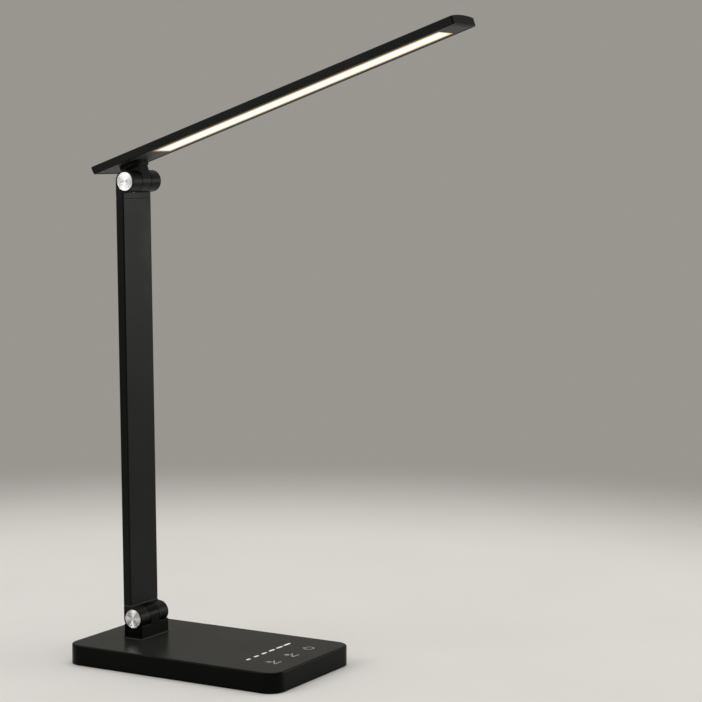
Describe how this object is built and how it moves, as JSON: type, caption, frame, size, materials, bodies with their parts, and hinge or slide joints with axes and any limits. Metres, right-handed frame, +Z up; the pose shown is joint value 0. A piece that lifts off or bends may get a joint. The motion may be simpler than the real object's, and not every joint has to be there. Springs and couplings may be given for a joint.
{
  "type": "led table lamp",
  "caption": "Folding LED table lamp: a weighted slab base with touch keys carries a flat arm and a thin edge-lit light bar on friction hinges, each capped with bright discs.",
  "frame": {"origin": "on the table, under the middle of the base", "axes": "+X towards the touch keys and the light bar's tip, +Y along both hinge axes, +Z up"},
  "size_m": [0.281, 0.1, 0.437],
  "materials": {
    "base_black": "satin black, finely textured",
    "cover_black": "matte black",
    "pad_rubber": "matte, non-slip",
    "weight_steel": "plain plate, zinc plated",
    "screw_steel": "blackened",
    "hinge_steel": "turned, oiled",
    "washer_plastic": "natural acetal",
    "bush_brass": "turned",
    "board_green": "lacquered board",
    "board_black": "moulded packages",
    "foam_grey": "conductive foam",
    "jack_black": "moulded",
    "pin_brass": "nickel plated",
    "lead_black": "matte",
    "arm_black": "black, fine satin",
    "cap_bright": "spun bright",
    "plate_black": "matte black",
    "diffuser_white": "frosted, lit",
    "guide_clear": "clear acrylic",
    "film_white": "white film",
    "strip_white": "white board",
    "led_yellow": "phosphor chips"
  },
  "bodies": {
    "base": {"base_housing": "base_black", "base_cover": "cover_black", "non_slip_pad": "pad_rubber", "cover_screws": "screw_steel", "base_weight": "weight_steel", "weight_screws": "screw_steel", "control_board": "board_green", "board_parts": "board_black", "board_screws": "screw_steel", "key_foams": "foam_grey", "slider_foam": "foam_grey", "inlet_plate": "base_black", "dc_jack": "jack_black", "dc_jack_pin": "pin_brass", "power_lead": "lead_black", "lamp_lead": "lead_black", "pedestal": "arm_black", "pedestal_screws": "screw_steel", "lower_hinge_screws": "hinge_steel", "lower_washers": "washer_plastic"},
    "arm": {"arm_tube": "arm_black", "lower_fork": "arm_black", "upper_fork": "arm_black", "fork_screws": "screw_steel", "arm_lead": "lead_black", "lower_bushes": "bush_brass", "upper_bushes": "bush_brass", "lower_caps": "cap_bright", "upper_caps": "cap_bright"},
    "head": {"upper_hinge_screws": "hinge_steel", "upper_washers": "washer_plastic", "head_bracket": "arm_black", "bracket_screws": "screw_steel", "head_shell": "arm_black", "head_front_cap": "plate_black", "head_rear_cap": "plate_black", "underside_plate": "plate_black", "diffuser": "diffuser_white", "light_guide": "guide_clear", "reflector_film": "film_white", "led_strips": "strip_white", "leds": "led_yellow", "head_lead": "lead_black"}
  },
  "joints": [
    {"name": "arm_tilt", "type": "hinge", "parent": "base", "child": "arm", "pos_m": [-0.0528, 0, 0.0284], "axis": [0, 1, 0], "range_deg": [-15, 75]},
    {"name": "head_tilt", "type": "hinge", "parent": "arm", "child": "head", "pos_m": [-0.05597, 0, 0.33158], "axis": [0, 1, 0], "range_deg": [-71.8, 108.2]}
  ]
}
